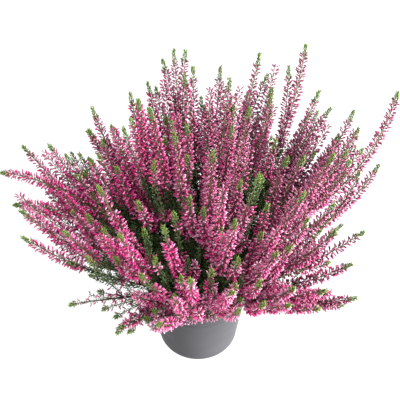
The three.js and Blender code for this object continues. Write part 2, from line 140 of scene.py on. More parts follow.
# Side spikes with a place of their own: number of the shoot, turn, reach, height of the tip.
AIMED = [
    (2, 200, 132, 166), (5, 163, 134, 228), (8, 151, 124, 240), (10, 133, 83, 278), (12, 106, 128, 279),
    (12, 96, 113, 298), (13, 100, 76, 297), (15, 60, 142, 262), (16, 55, 159, 266), (20, 30, 151, 256),
    (23, 7, 155, 223),
]

UP = np.array((0.0, 0.0, 1.0))


def mix(first, second, share):
    return (1 - share) * first + share * second


def clamp(value, least=0.0):
    return min(1.0, max(least, value))


def wall_radius(height):
    return POT_FOOT_RADIUS + POT_TAPER * height


def unit(vector):
    return vector / sqrt(vector @ vector)


def chance_from(seed):
    """A linear congruential generator: numbers from 0 up to 1."""
    state = seed

    def chance():
        nonlocal state
        state = (state * 1664525 + 1013904223) % 2**32
        return state / 2**32

    return chance


class Path:
    """A shoot's centre line: a quadratic curve, with a sideways direction."""

    def __init__(self, start, bend, end, across):
        self.start, self.bend, self.end, self.across = start, bend, end, across
        legs = (bend - start, end - bend, end - start)
        self.length = sum(sqrt(leg @ leg) for leg in legs) / 2

    def points(self, shares):
        t = np.asarray(shares, float)[:, None]
        return self.start * ((1 - t) * (1 - t)) + self.bend * (2 * t * (1 - t)) + self.end * (t * t)

    def frames(self, shares):
        """Directions along, to the side of and over the path, a row for each share."""
        t = np.asarray(shares, float)[:, None]
        along = (self.bend - self.start) * (1 - t) + (self.end - self.bend) * t
        along /= np.linalg.norm(along, axis=1)[:, None]
        side = self.across - along * (along @ self.across)[:, None]
        side /= np.linalg.norm(side, axis=1)[:, None]
        return along, side, np.cross(along, side)


def spike_radius(share):
    swelling = mix(SPIKE_FOOT_RADIUS, SPIKE_RADIUS, share / SPIKE_SWELL)
    return min(swelling, mix(SPIKE_RADIUS, SPIKE_TOP_RADIUS, share))


def balls_along(path, first, last, radius_at, owner):
    """Rows of x, y, z, radius and owner along a path, for the test that shoots stay clear of each other."""
    count = max(1, ceil((last - first) * path.length / SAMPLE_GAP))
    steps = [i / count for i in range(count + 1)]
    places = path.points([mix(first, last, step) for step in steps])
    marks = [(radius_at(step), owner) for step in steps]
    return np.hstack([places, np.array(marks)])


def spike_balls(path, first, owner):
    return balls_along(path, first, 1, lambda share: spike_radius(share) + SPIKE_MARGIN, owner)


class Balls:
    """The balls along all that has grown."""

    def __init__(self):
        radius = wall_radius(POT_HEIGHT) - POT_WALL / 2
        self.rows = np.array([
            (*tip_at(turn, radius, POT_HEIGHT - 1), POT_WALL / 2 + LIP_OUT, -1)
            for turn in range(0, 360, 5)
        ])

    def take(self, fresh):
        """Adds the fresh balls if they are clear of those of other owners."""
        reach = SPIKE_RADIUS * 2 + SPIKE_MARGIN * 3
        low, high = fresh[:, :3].min(0) - reach, fresh[:, :3].max(0) + reach
        near = self.rows[((self.rows[:, :3] > low) & (self.rows[:, :3] < high)).all(1)]
        apart = ((fresh[:, None, :3] - near[None, :, :3]) ** 2).sum(2)
        touch = (fresh[:, None, 3] + near[None, :, 3]) ** 2
        own = fresh[:, None, 4] == near[None, :, 4]
        clear = bool((own | (apart > touch)).all())
        if clear:
            self.rows = np.vstack([self.rows, fresh])
        return clear


TRUNKS = [np.array((0.0, 0.0, SOIL_TOP + TRUNK_RISE * 0.6))] + [
    np.array((TRUNK_RING * cos(turn), TRUNK_RING * sin(turn), SOIL_TOP + TRUNK_RISE * 0.6))
    for turn in (radians(TRUNK_RING_TURN + 360 * i / OUTER_TRUNKS) for i in range(OUTER_TRUNKS))
]


def trunk_for(turn, reach):
    if reach < INNER_REACH:
        return 0
    sector = (turn - TRUNK_RING_TURN) / 360 * OUTER_TRUNKS
    return 1 + floor(sector + OUTER_TRUNKS + 0.5) % OUTER_TRUNKS


def tip_at(turn_degrees, reach, height):
    turn = radians(turn_degrees)
    return np.array((reach * cos(turn), reach * sin(turn), height))


def main_path(trunk, end, bend_shares=BEND):
    """The path of a main shoot to its tip: it leaves the trunk outwards and turns up."""
    away = end - TRUNKS[trunk]
    steepness = atan2(away[2], hypot(away[0], away[1])) / (pi / 2)
    outward = unit(np.array((away[0], away[1], 0.0)))
    start = TRUNKS[trunk] + outward * BRANCH_OFFSET
    start[2] = SOIL_TOP + TRUNK_RISE * mix(0.1, 0.9, steepness)
    bend = start + (end - start) * bend_shares[0]
    bend[2] = max(mix(start[2], end[2], bend_shares[1]), start[2] + OVER_LIP)
    return Path(start, bend, end, unit(np.array((-end[1], end[0], 0.0))))


def side_path(parent, share, length, roll, opening, rest, lift):
    """A path that leaves another at the angle opening and ends at the angle rest, turned up by lift."""
    along, side, over = (rows[0] for rows in parent.frames([share]))
    outward = side * cos(roll) + over * sin(roll)
    start = parent.points([share])[0]

    def heading(degrees, up):
        return unit(along * cos(radians(degrees)) + outward * sin(radians(degrees)) + UP * up)

    bend = start + heading(opening, 0) * (length * SIDE_BEND)
    end = start + heading(rest, lift) * length
    return Path(start, bend, end, np.cross(along, outward))


def aimed_path(parent, share, end):
    """A path that leaves another in its direction and turns towards an end of its own."""
    start, along = parent.points([share])[0], parent.frames([share])[0][0]
    away = end - start
    bend = start + along * (sqrt(away @ away) * SIDE_BEND)
    return Path(start, bend, end, unit(np.cross(along, away)))


class Shoot:
    """A main shoot with its side spikes and twigs. Its flowers begin at the share bloom_from."""

    def __init__(self, number, trunk, main, bloom_from, side_count):
        self.number, self.trunk, self.main, self.bloom_from = number, trunk, main, bloom_from
        self.side_count = side_count
        self.sides, self.twigs = [], []

    @property
    def plume(self):
        return f"plume_{self.number:02d}"


@lru_cache
def grown():
    """All the main shoots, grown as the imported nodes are."""
    chance = chance_from(SEED)
    balls = Balls()

    def draw(span):
        return mix(span[0], span[1], chance())

    def strayed_tip(place, attempt):
        swing = SHOOT_STRAY * attempt / SHOOT_TRIES
        return tip_at(*[value + swing * (chance() * 2 - 1) for value in place])

    def grow_shoot(number, turn, reach, height, side_count, bend_shares=BEND):
        trunk = trunk_for(turn, reach)
        for attempt in range(SHOOT_TRIES):
            main = main_path(trunk, strayed_tip((turn, reach, height), attempt), bend_shares)
            bloom_from = BLOOM_FROM + BLOOM_STEP * (attempt % BLOOM_STEPS)
            stem = balls_along(main, CLEAR_OF_TRUNK, bloom_from, lambda _: STEM_BALL, 100 + trunk)
            if balls.take(np.vstack([stem, spike_balls(main, bloom_from, number)])):
                return Shoot(number, trunk, main, bloom_from, side_count)
        raise RuntimeError(f"no clear place for shoot {number}")

    def grow_side(make_path, make_balls, tries):
        for attempt in range(tries):
            path = make_path(attempt)
            if path.end[2] > path.start[2] + LEAST_RISE and balls.take(make_balls(path)):
                return path
        return None

    shoots = [grow_shoot(i + 1, *row) for i, row in enumerate(SHOOTS)]

    for number, *place in AIMED:
        shoot = shoots[number - 1]
        share = shoot.bloom_from + SPIKE_BARE * AIMED_FROM / shoot.main.length
        side = grow_side(
            lambda attempt: aimed_path(shoot.main, share, strayed_tip(place, attempt)),
            lambda path: spike_balls(path, CLEAR_OF_PARENT, shoot.number),
            SHOOT_TRIES,
        )
        if not side:
            raise RuntimeError(f"no clear place for an aimed side spike of shoot {number}")
        shoot.sides.append(side)

    for shoot in shoots:
        main = shoot.main
        for i in range(shoot.side_count):
            turned = pi * (i + 0.5) + chance()

            def try_side(_):
                share = shoot.bloom_from + SPIKE_BARE * draw((0.1, 0.85)) / main.length
                length = main.length * (1 - share) * draw(SIDE_SHARE)
                roll = turned + (chance() - 0.5) * SIDE_ROLL_SPREAD
                opening = draw(SIDE_OPEN)
                return side_path(main, share, length, roll, opening, draw(SIDE_REST), SIDE_LIFT)

            side = grow_side(
                try_side, lambda path: spike_balls(path, CLEAR_OF_PARENT, shoot.number), SIDE_TRIES
            )
            if side:
                shoot.sides.append(side)

    for shoot in shoots[::TWIG_EVERY]:

        def try_twig(_):
            share = draw(TWIG_FROM)
            length = draw(TWIG_LENGTH)
            roll = chance() * 2 * pi
            return side_path(shoot.main, share, length, roll, TWIG_OPEN, TWIG_REST, TWIG_LIFT)

        twig = grow_side(
            try_twig,
            lambda path: balls_along(path, CLEAR_OF_PARENT, 1, lambda _: TWIG_BALL, 100 + shoot.trunk),
            TWIG_TRIES,
        )
        if twig:
            shoot.twigs.append(twig)

    for shoot in shoots:
        low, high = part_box(shoot.plume)
        if any(not low[k] - MM <= shoot.main.end[k] * MM <= high[k] + MM for k in range(3)):
            raise RuntimeError(f"{shoot.plume} doesn't grow where its node is")
    return shoots


# ---------------------------------------------------------------- small mesh helpers
GOLDEN_ANGLE = pi * (3 - sqrt(5))


def smooth_step(values, first, last):
    share = np.clip((values - first) / (last - first), 0, 1)
    return share * share * (3 - 2 * share)


def set_round(path, shares, turns, tilts, outs, sizes):
    """
    Matrices, in metres, that stand a shape of unit length on each root round a path. The shapes are turned
    round the path and tilted off it, in radians. Sizes are widths, thicknesses and lengths.
    """
    along, side, over = path.frames(shares)
    outward = side * np.cos(turns)[:, None] + over * np.sin(turns)[:, None]
    directions = along * np.cos(tilts)[:, None] + outward * np.sin(tilts)[:, None]
    beside = np.cross(along, outward)
    roots = path.points(shares) + outward * outs[:, None]
    places = np.zeros((len(roots), 4, 4))
    columns = np.stack([beside, np.cross(directions, beside), directions], axis=2)
    places[:, :3, :3] = columns * sizes[:, None, :] * MM
    places[:, :3, 3] = roots * MM
    places[:, 3, 3] = 1
    return places


def repeated(shape, places):
    """A bmesh of a small mesh repeated at every place, a matrix each."""
    whole = bmesh.new()
    rest = np.empty(len(shape.vertices) * 3, np.float32)
    shape.vertices.foreach_get("co", rest)
    for place in places:
        shape.vertices.foreach_set("co", rest)
        shape.transform(Matrix(place))
        whole.from_mesh(shape)
    shape.vertices.foreach_set("co", rest)
    return whole


def mesh_from(name, shape):
    """The finished mesh of a bmesh, smooth shaded. The bmesh is used up."""
    mesh = bpy.data.meshes.new(name)
    shape.to_mesh(mesh)
    shape.free()
    mesh.shade_smooth()
    return mesh


def add_mark(mesh, name, values):
    """A number for each vertex, which a material reads."""
    mark = mesh.attributes.new(name, "FLOAT", "POINT")
    mark.data.foreach_set("value", np.ascontiguousarray(values, np.float32))


def add_piece(mesh, material, nodes=()):
    """A finished piece of the object. It stands for the nodes."""
    piece = bpy.data.objects.new(mesh.name, mesh)
    bpy.context.scene.collection.objects.link(piece)
    mesh.materials.append(material)
    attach(piece, "root")
    if nodes:
        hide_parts(*nodes)
    return piece


def spindle(name, sides, rings):
    """A closed shape of unit length along +Z, pointed at both ends, through rings of (height, radius)."""
    shape = bmesh.new()
    bmesh.ops.create_uvsphere(shape, u_segments=sides, v_segments=len(rings) + 1, radius=1)
    heights = sorted({round(vertex.co.z, 4) for vertex in shape.verts})
    levels = [(0.0, 0.0), *rings, (1.0, 0.0)]
    for height, (raised, radius) in zip(heights, levels, strict=True):
        level = [vertex for vertex in shape.verts if abs(vertex.co.z - height) < 0.001]
        wide = max(hypot(vertex.co.x, vertex.co.y) for vertex in level)
        scale = radius / wide if wide > 0.001 else 1
        bmesh.ops.scale(shape, vec=(scale, scale, 1), verts=level)
        bmesh.ops.translate(shape, vec=(0, 0, raised - height), verts=level)
    mesh = mesh_from(name, shape)
    add_mark(mesh, "along", [vertex.co.z for vertex in mesh.vertices])
    return mesh


def add_tube(whole, path, taper, sides):
    """Adds a closed tube along a path to a bmesh: a circle extruded through pairs of a share and a radius."""
    shares, radii = zip(*taper)
    along, side, over = path.frames(shares)
    centres = path.points(shares)
    tube = bmesh.new()
    face = bmesh.ops.create_circle(tube, cap_ends=True, segments=sides, radius=1)["verts"][0].link_faces[0]
    before = Matrix.Identity(4)
    for i, radius in enumerate(radii):
        columns = [side[i] * radius, over[i] * radius, along[i] * radius, centres[i]]
        place = Matrix([[*(column[k] * MM for column in columns)] for k in range(3)] + [[0, 0, 0, 1]])
        if i:
            grown_on = bmesh.ops.extrude_face_region(tube, geom=[face])["geom"]
            face = next(part for part in grown_on if isinstance(part, bmesh.types.BMFace))
        bmesh.ops.transform(tube, matrix=place @ before.inverted(), verts=list(face.verts))
        before = place
    bmesh.ops.recalc_face_normals(tube, faces=list(tube.faces))
    made = bpy.data.meshes.new("tube")
    tube.to_mesh(made)
    tube.free()
    whole.from_mesh(made)
    bpy.data.meshes.remove(made)


def turned(profile, steps):
    """A bmesh turned about +Z from a profile of (radius, height) in millimetres."""
    shape = bmesh.new()
    corners = [shape.verts.new((radius * MM, 0, height * MM)) for radius, height in profile]
    edges = [shape.edges.new(pair) for pair in zip(corners, corners[1:])]
    bmesh.ops.spin(
        shape, geom=corners + edges, cent=(0, 0, 0), axis=(0, 0, 1), angle=2 * pi, steps=steps, use_merge=True
    )
    bmesh.ops.remove_doubles(shape, verts=list(shape.verts), dist=0.001 * MM)
    bmesh.ops.recalc_face_normals(shape, faces=list(shape.faces))
    return shape


# ---------------------------------------------------------------- materials
class Finish:
    """A material and its nodes."""

    def __init__(self, name):
        self.material = bpy.data.materials.new(name)
        self.material.use_nodes = True
        self.tree = self.material.node_tree
        self.shader = self.tree.nodes["Principled BSDF"]

    def node(self, kind, values=(), **links):
        """A node of a kind. Values are (property, value); links are socket name or number to output."""
        made = self.tree.nodes.new(kind)
        for name, value in values:
            if name in made.bl_rna.properties:
                setattr(made, name, value)
            else:
                made.inputs[name].default_value = value
        for name, output in links.items():
            self.tree.links.new(output, made.inputs[name.replace("_", " ")])
        return made

    def set(self, socket, value):
        self.shader.inputs[socket].default_value = value

    def link(self, output, socket):
        self.tree.links.new(output, self.shader.inputs[socket])

    def mark(self, name):
        return self.node("ShaderNodeAttribute", [("attribute_name", name)]).outputs["Fac"]

    def place(self):
        return self.node("ShaderNodeTexCoord").outputs["Object"]

    def noise(self, scale, detail=2.0, roughness=0.5):
        """A noise on the piece's own coordinates, in features a metre."""
        values = [("Scale", scale), ("Detail", detail), ("Roughness", roughness)]
        return self.node("ShaderNodeTexNoise", values, Vector=self.place()).outputs["Fac"]

    def span(self, value, low, high, least=0.0, most=1.0):
        """A value from low to high, spread from least to most."""
        values = [("From Min", low), ("From Max", high), ("To Min", least), ("To Max", most)]
        return self.node("ShaderNodeMapRange", values, Value=value).outputs["Result"]

    def ramp(self, value, stops):
        """A colour ramp with stops of (position, colour)."""
        made = self.node("ShaderNodeValToRGB", Fac=value)
        elements = made.color_ramp.elements
        while len(elements) < len(stops):
            elements.new(0.5)
        for element, (position, colour) in zip(elements, stops, strict=True):
            element.position = position
            element.color = (*colour[:3], 1)
        return made.outputs["Color"]

    def blend(self, first, second, share):
        """The colour between two, which are outputs or plain colours."""
        made = self.node("ShaderNodeMix", [("data_type", "RGBA")])
        for socket, value in ((made.inputs[0], share), (made.inputs[6], first), (made.inputs[7], second)):
            if isinstance(value, bpy.types.NodeSocket):
                self.tree.links.new(value, socket)
            else:
                socket.default_value = value if isinstance(value, float) else (*value[:3], 1)
        return made.outputs[2]

    def bump(self, height, strength, distance):
        values = [("Strength", strength), ("Distance", distance)]
        self.link(self.node("ShaderNodeBump", values, Height=height).outputs["Normal"], "Normal")


def mixed(first, second):
    return tuple((a + b) / 2 for a, b in zip(first, second))


def times(colour, factor):
    return tuple(min(1.0, part * factor) for part in colour[:3])


# ---------------------------------------------------------------- settings
def colour_setting(name, description, default):
    return FloatVectorProperty(
        name=name, description=description, default=default, subtype="COLOR", size=3, min=0, max=1
    )


def length_setting(name, description, default):
    return FloatProperty(
        name=name, description=description, default=default * MM, unit="LENGTH", subtype="DISTANCE", min=0,
        precision=5,
    )


class HeatherPotSettings(bpy.types.PropertyGroup):
    height: length_setting("Height", "Height of the pot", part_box("pot")[1].z / MM)
    groove_depth: length_setting("Groove depth", "Depth of the three ring grooves", 0.7)
    groove_width: length_setting("Groove width", "Width of each ring groove", 1.9)
    colour: colour_setting("Colour", "Colour of the plastic", (0.064, 0.064, 0.0695))
    soil_colour: colour_setting("Peat", "Colour of the damp peat", (0.022, 0.013, 0.008))


class HeatherBloomSettings(bpy.types.PropertyGroup):
    bud_length: length_setting("Bud length", "Length of a bud and its stalk", 6.7)
    bud_width: length_setting("Bud width", "Width of a bud", 1.7)
    density: FloatProperty(
        name="Density", description="How close the whorls of buds stand", default=1.0, min=0.2
    )
    # The dark crimson of a bud's foot is partly painted shade near the stem, and the pale point partly a
    # painted highlight.
    deep: colour_setting("Deep", "Colour of a bud's foot", (0.15, 0.002, 0.042))
    rose: colour_setting("Rose", "Colour of a bud's middle", (0.42, 0.008, 0.125))
    pale: colour_setting("Pale", "Colour of a bud's point", (0.55, 0.245, 0.37))


class HeatherLeafSettings(bpy.types.PropertyGroup):
    leaf_length: length_setting("Leaf length", "Length of a scale leaf on a twig", 5.0)
    twigs: IntProperty(name="Twigs", description="Leafy twigs on each branch", default=6, min=0)
    # The dark leaf colour is partly older leaves and partly painted shade inside the plant; green is for
    # leaves in the light.
    dark: colour_setting("Dark", "Colour of the old leaves inside the plant", (0.009, 0.026, 0.009))
    green: colour_setting("Green", "Colour of the leaves in the light", (0.045, 0.1, 0.028))
    fresh: colour_setting("Fresh", "Colour of the young leafy tips", (0.14, 0.235, 0.032))


class HeatherStageSettings(bpy.types.PropertyGroup):
    floor_colour: colour_setting("Floor", "Colour of the floor", (0.2, 0.2, 0.2))
    key_power: FloatProperty(
        name="Key light", description="Power of the large light on the right", default=82, unit="POWER"
    )
    sky: FloatProperty(name="Sky", description="Strength of the light from all round", default=0.1)


# ---------------------------------------------------------------- pot and peat
FOOT_ROUNDING = 12.0
POT_FLOOR = 2.2
LIP_BEAD = 2.2
GROOVES = (73.6, 78, 82.4)
GROOVE_STEPS = 4
DRAIN_HOLES = 4
DRAIN_RING = 17.0
DRAIN_RADIUS = 4.0
POT_STEPS = 112
SOIL_STEPS = 72
CRUMBS = 420


def rounded_foot(inset, lowest, first, last, steps):
    """Points round the lower edge of the pot's wall, moved inwards by an inset and cut off at a height."""
    rounding = FOOT_ROUNDING - inset
    edge = wall_radius(FOOT_ROUNDING) - FOOT_ROUNDING
    turns = [radians(mix(first, last, i / steps)) for i in range(steps + 1)]
    return [
        (edge + rounding * sin(turn), max(lowest, FOOT_ROUNDING - rounding * cos(turn)))
        for turn in turns
    ]


def pot_profile(settings):
    """The pot's section: underside, rounded edge, wall with grooves, rolled lip, inside and floor."""
    height = settings.height / MM
    depth, half = settings.groove_depth / MM, settings.groove_width / MM / 2
    outside = [(0, 0), (10, 0), *rounded_foot(0, 0, 0, 90, 10)]
    outside += [(wall_radius(z), z) for z in (20, 30, 40, 50, 60, 70)]
    for middle in GROOVES:
        for step in range(-GROOVE_STEPS, GROOVE_STEPS + 1):
            z = middle + half * step / GROOVE_STEPS
            cut = depth * cos(pi / 2 * step / GROOVE_STEPS) ** 0.7 if abs(step) < GROOVE_STEPS else 0
            outside.append((wall_radius(z) - cut, z))
    outside += [(wall_radius(z), z) for z in (83.9, 84.6)]
    centre = (wall_radius(height) + LIP_OUT - LIP_BEAD, height - LIP_BEAD)
    turns = [radians(mix(-35, 90, i / 8)) for i in range(9)]
    outside += [(centre[0] + LIP_BEAD * cos(turn), centre[1] + LIP_BEAD * sin(turn)) for turn in turns]
    rim = wall_radius(height) - POT_WALL
    inside = [(rim + 0.5, height - 0.25), (rim, height - 1.0)]
    inside += [(wall_radius(z) - POT_WALL, z) for z in (84, 76, 60, 45, 30, 20)]
    inside += reversed(rounded_foot(POT_WALL, POT_FLOOR, 20, 90, 6))
    return [*outside, *inside, (0, POT_FLOOR)]


def pot_plastic(settings):
    finish = Finish("pot_plastic")
    cloud = finish.noise(18, 3)
    colour = finish.ramp(cloud, [(0.3, times(settings.colour, 0.93)), (0.7, times(settings.colour, 1.08))])
    scuff = finish.span(finish.span(finish.noise(240, 4, 0.65), 0.62, 0.8), 0, 1, 0, 0.35)
    finish.link(finish.blend(colour, times(settings.colour, 1.7), scuff), "Base Color")
    finish.link(finish.span(finish.noise(60, 3), 0.3, 0.7, 0.46, 0.58), "Roughness")
    finish.bump(finish.noise(900, 2), 0.08, 0.0004)
    finish.set("Specular IOR Level", 0.1)
    return finish.material


class HeatherMakePot(bpy.types.Operator):
    """Turns the thin-walled pot with its rolled lip, ring grooves and drain holes"""

    bl_idname = "heather.make_pot"
    bl_label = "Pot"

    def execute(self, context):
        settings = context.scene.heather_pot
        mesh = mesh_from("pot_shell", turned(pot_profile(settings), POT_STEPS))
        drill = bmesh.new()
        radius = DRAIN_RADIUS * MM
        for i in range(DRAIN_HOLES):
            turn = radians(45 + 360 / DRAIN_HOLES * i)
            place = Matrix.Translation((DRAIN_RING * MM * cos(turn), DRAIN_RING * MM * sin(turn), 0))
            bmesh.ops.create_cone(
                drill, cap_ends=True, segments=24, radius1=radius, radius2=radius, depth=2 * radius,
                matrix=place,
            )
        piece = add_piece(mesh, pot_plastic(settings), ["pot"])
        cut = bpy.data.objects.new("drain_drill", mesh_from("drain_drill", drill))
        context.scene.collection.objects.link(cut)
        holes = piece.modifiers.new("drain_holes", "BOOLEAN")
        holes.operation, holes.object, holes.solver = "DIFFERENCE", cut, "EXACT"
        finished = bpy.data.meshes.new_from_object(piece.evaluated_get(context.evaluated_depsgraph_get()))
        piece.modifiers.clear()
        piece.data = finished
        finished.name = "pot_shell"
        bpy.data.objects.remove(cut)
        return {"FINISHED"}


def peat_crumbs(settings):
    finish = Finish("peat")
    grain = finish.noise(420, 6, 0.7)
    damp, dry = times(settings.soil_colour, 0.5), times(settings.soil_colour, 3.2)
    finish.link(finish.ramp(grain, [(0.3, damp), (0.52, settings.soil_colour), (0.72, dry)]), "Base Color")
    finish.set("Roughness", 0.95)
    finish.set("Specular IOR Level", 0.25)
    finish.bump(grain, 0.9, 0.0015)
    return finish.material


def soil_swell(x, y):
    return 0.9 * sin(x * 0.21 + 1) * cos(y * 0.17 + x * 0.05)


class HeatherMakeSoil(bpy.types.Operator):
    """Fills the pot with crumbly peat"""

    bl_idname = "heather.make_soil"
    bl_label = "Peat"

    def execute(self, context):
        inset, lowest = POT_WALL + 0.35, POT_FLOOR + 0.4
        brim = wall_radius(SOIL_TOP) - inset
        profile = [(0, lowest), *rounded_foot(inset, lowest, 20, 90, 5), (brim, SOIL_TOP - 2.5)]
        outer, inner = (0.98, 0.92, 0.84, 0.75, 0.65, 0.55), (0.45, 0.36, 0.27, 0.19, 0.12, 0.06, 0)
        profile += [(brim * share, SOIL_TOP - 0.6 * share**6) for share in outer]
        profile += [(brim * share, SOIL_TOP) for share in inner]
        soil = turned(profile, SOIL_STEPS)
        for vertex in soil.verts:
            if vertex.co.z > (SOIL_TOP - 1) * MM:
                x, y = vertex.co.x / MM, vertex.co.y / MM
                vertex.co.z += soil_swell(x, y) * MM
                vertex.co.z += 0.5 * sin(x * 1.3 + y * 0.4) * sin(y * 1.1 - x * 0.7) * MM
        finish = peat_crumbs(context.scene.heather_pot)
        add_piece(mesh_from("peat_bed", soil), finish, ["soil"])

        crumb = bmesh.new()
        bmesh.ops.create_icosphere(crumb, subdivisions=1, radius=1)
        shape = mesh_from("crumb", crumb)
        draw = Random(11)
        places = []
        for _ in range(CRUMBS):
            reach, turn = (brim - 2.5) * sqrt(draw.random()), draw.uniform(0, 2 * pi)
            x, y = reach * cos(turn), reach * sin(turn)
            z = SOIL_TOP + soil_swell(x, y)
            size = draw.uniform(0.5, 1.5) * MM
            tipped, spun = draw.uniform(0, pi), draw.uniform(0, pi)
            turning = Matrix.Rotation(tipped, 4, "X") @ Matrix.Rotation(spun, 4, "Z")
            scale = Matrix.Diagonal((size, size * draw.uniform(0.5, 1), size * draw.uniform(0.4, 0.8), 1))
            places.append(Matrix.Translation((x * MM, y * MM, z * MM)) @ turning @ scale)
        add_piece(mesh_from("peat_crumbs", repeated(shape, places)), finish)
        return {"FINISHED"}


# ---------------------------------------------------------------- flowers, leaves and stems
# Shoots whose spikes are mostly leaves, with few buds.
LEAFY_SHOOTS = (1,)
# Shoots that stand out alone, as one long spike.
SINGLE_SHOOTS = (2, 4, 7, 16, 22, 23)
# Shoots that hang over the pot.
HANGING_SHOOTS = (28, 29)
HEART = np.array((0.0, 0.0, SOIL_TOP + 10))
HEART_EDGE = (52, 78)

BUD_RINGS = [(0.4, 0.42), (0.76, 0.56)]
WHORL_GAP = (2.25, 2.5)
BUDS_IN_WHORL = 5
# A spike duskier than this has one bud less in each whorl.
VERY_DUSKY = 0.85
LEAF_RINGS = [(0.35, 0.5)]
BRACTS_PER_MM = 1.15
LEAVES_PER_MM = 1.05

# Length of a spike's leafy tip on the outside of the plant, and the bare end of a spike that has none. Of the
# spikes inside the plant only a share has one.
TUFT_LENGTH = 13.5
NO_TIP = 1.5
TUFTED_SHARE = 0.15
# Above this height, or past this reach, a main spike has a whole tuft.
TALL = 255
FAR_OUT = 150

# The part of the pot's front that stays bare: its middle, half its width and how far forward it begins.
# Flowers over it end above a line, which climbs past the lip. All others end above LOWEST_FLOWER.
BARE_MIDDLE = 17
BARE_HALF_WIDTH = 37
BARE_FROM = -35
BARE_HEIGHT = 93
BARE_CLIMB = 0.97
BARE_LIP = -52
LOWEST_FLOWER = 88

# Paths of added spikes end above LOWEST_TIP, and their outer part stays OVER_POT above those two heights.
# Of their length only small shares lie in lanes and wedges.
LOWEST_TIP = 108
OVER_POT = 8
MOST_IN_LANE = 0.16
MOST_IN_WEDGE = 0.1
# Least and greatest distance between two tips that get a spike between them.
NEIGHBOURS = (24, 95)
# A spike added to the side of a branch ends lower than the branch, and nearer to the axis.
LOWER_BY = 12
NEARER_BY = 6
# Its angles where it leaves the branch and where it ends, and how strongly it turns up: below the branch's
# flowers and among them.
LOW_SIDE = (46, 26, 0.3)
HIGH_SIDE = (50, 28, 0.25)
# The same for leafy twigs, as spans, and the span of their length.
LEAFY_OPEN = (50, 68)
LEAFY_REST = (28, 42)
LEAFY_LIFT = 0.35
LEAFY_LENGTH = (18, 38)
ROOT_DEPTH = 17.5

# More spikes where the plant is full: turn, reach and height of the tip.
FILLERS = [
    (150.5, 122, 242), (154, 104, 240), (166, 81, 230), (163, 100, 236), (56, 133, 254), (351, 129, 218),
    (52, 120, 236), (45, 105, 222), (121, 82, 243), (123, 60, 239), (134, 83, 222), (169, 104, 239),
    (165, 117, 213), (158, 121, 202), (171, 118, 220), (151, 126, 204), (140, 84, 261), (126, 98, 265),
    (112, 112, 260), (143, 106, 244), (121, 93, 253), (112, 86, 242), (132, 94, 239), (147, 92, 226),
    (86, 100, 240), (69, 91, 232), (60, 98, 220), (231, 122, 119), (236, 116, 122), (225, 112, 124),
    (220, 118, 132), (325, 163, 159), (317, 151, 166), (306, 139, 182),
]
# A fringe of short spikes over the lip in front: their turns, and the spans of their reach and height.
FRINGE_TURNS = range(250, 310, 3)
FRINGE_REACH = (63, 69)
FRINGE_HEIGHT = (100, 110)

# Leafy shoots in the heart, and more of them at the back: how many, and spans of turn, reach and height.
HEART_SHOOTS = [(60, (0, 360), (15, 75), (118, 160)), (45, (60, 160), (35, 100), (112, 165))]

# Share along and radius of each kind of stem.
SPIKE_TAPER = [(0, 0.62), (0.14, 0.58), (0.3, 0.54), (0.48, 0.5), (0.66, 0.44), (0.84, 0.38), (0.96, 0.3)]
TWIG_TAPER = [(0, 0.5), (0.25, 0.45), (0.5, 0.4), (0.75, 0.34), (0.97, 0.25)]
TRUNK_TAPER = [(0, 2.2), (0.3, 2.5), (0.6, 2.9), (0.72, 3.3), (0.8, 3.1), (0.88, 2.9), (0.95, 2.7), (1, 2.0)]
BRANCH_RADII = (1.5, 0.42)

STALK = (0.42, 0.24, 0.2)
# Near-white for a bud's point: partly a paler point and partly a painted highlight.
PALE_POINT_AND_HIGHLIGHT = (0.78, 0.66, 0.7)
# Dusky buds: brownish stalk, dark plum body and a mauve point; the dark body is partly painted shade and the
# pale point partly a painted highlight.
PLUM = [
    (0.2, (0.22, 0.16, 0.12)), (0.4, (0.13, 0.018, 0.05)),
    (0.7, (0.17, 0.026, 0.075)), (1.0, (0.4, 0.22, 0.3)),
]
LEAF_POINT = (0.35, 0.42, 0.12)
FADED = (0.2, 0.11, 0.09)


class Spike:
    """
    A flower spike: its path, the share where its buds begin, and how it looks. Buds stand on all of a spike
    that hangs over the lip.
    """

    def __init__(self, shoot, path, first, draw, tip=TUFT_LENGTH, size=1.0, hangs=False):
        self.shoot, self.path, self.first = shoot, path, first
        self.hangs = hangs or shoot.number in HANGING_SHOOTS
        self.last = 1 - tip / path.length
        self.tip, self.size = tip, size
        self.leafy = shoot.number in LEAFY_SHOOTS
        # Spikes high up, at the back and on the right are duskier, with fewer buds. Low ones are paler.
        x, y, z = path.end
        pale = 0.5 * clamp((160 - z) / 45) - 0.2 * clamp(1 - hypot(x + 50, y) / 130)
        self.tint = pale + draw.gauss(0, 0.1)
        right = x / (150 if x > 0 else 140)
        dusk = (z - 200) / 120 + y / 420 + right + draw.gauss(0, 0.12)
        self.dusk = clamp(dusk, 0.45 * self.hangs)


def above_pot(points):
    """True for the points that don't hang over the lip or, seen from above, in front of the pot's wall."""
    x, y, z = points.T
    line = BARE_HEIGHT + BARE_CLIMB * np.maximum(0, BARE_LIP - y)
    in_front = (abs(x - BARE_MIDDLE) < BARE_HALF_WIDTH) & (y < BARE_FROM)
    return np.where(in_front, z > line, z > LOWEST_FLOWER)


# Lanes are where the plant is open and its dark leafy inside shows, as seen from the front: how far to the
# right and up the middle of each lies, and half its length and width. They run outwards from the heart.
LANES = [
    (-46, 4, 24, 7), (-4, 20, 17, 10), (55, 7, 18, 13), (-66, -22, 38, 9), (-15, -48, 17, 8),
    (-39, -79, 18, 11), (-31, -31, 16, 9), (20, -79, 13, 9), (-95, -71, 22, 14), (-24, -8, 24, 10),
    (-48, -50, 22, 8), (35, -58, 18, 6),
]
# Where only more leaves stand between the flowers.
LEAFY_PLACES = [(40, 6, 26, 10), (52, 14, 24, 12), (-80, -10, 32, 10), (78, -84, 24, 8), (-75, -60, 30, 12)]
# Where the white ground shows between the shoots, given in the same way.
WEDGES = [(103, -76, 36, 7), (-115, -72, 30, 5), (-123, -88, 24, 6), (86, -119, 44, 7)]
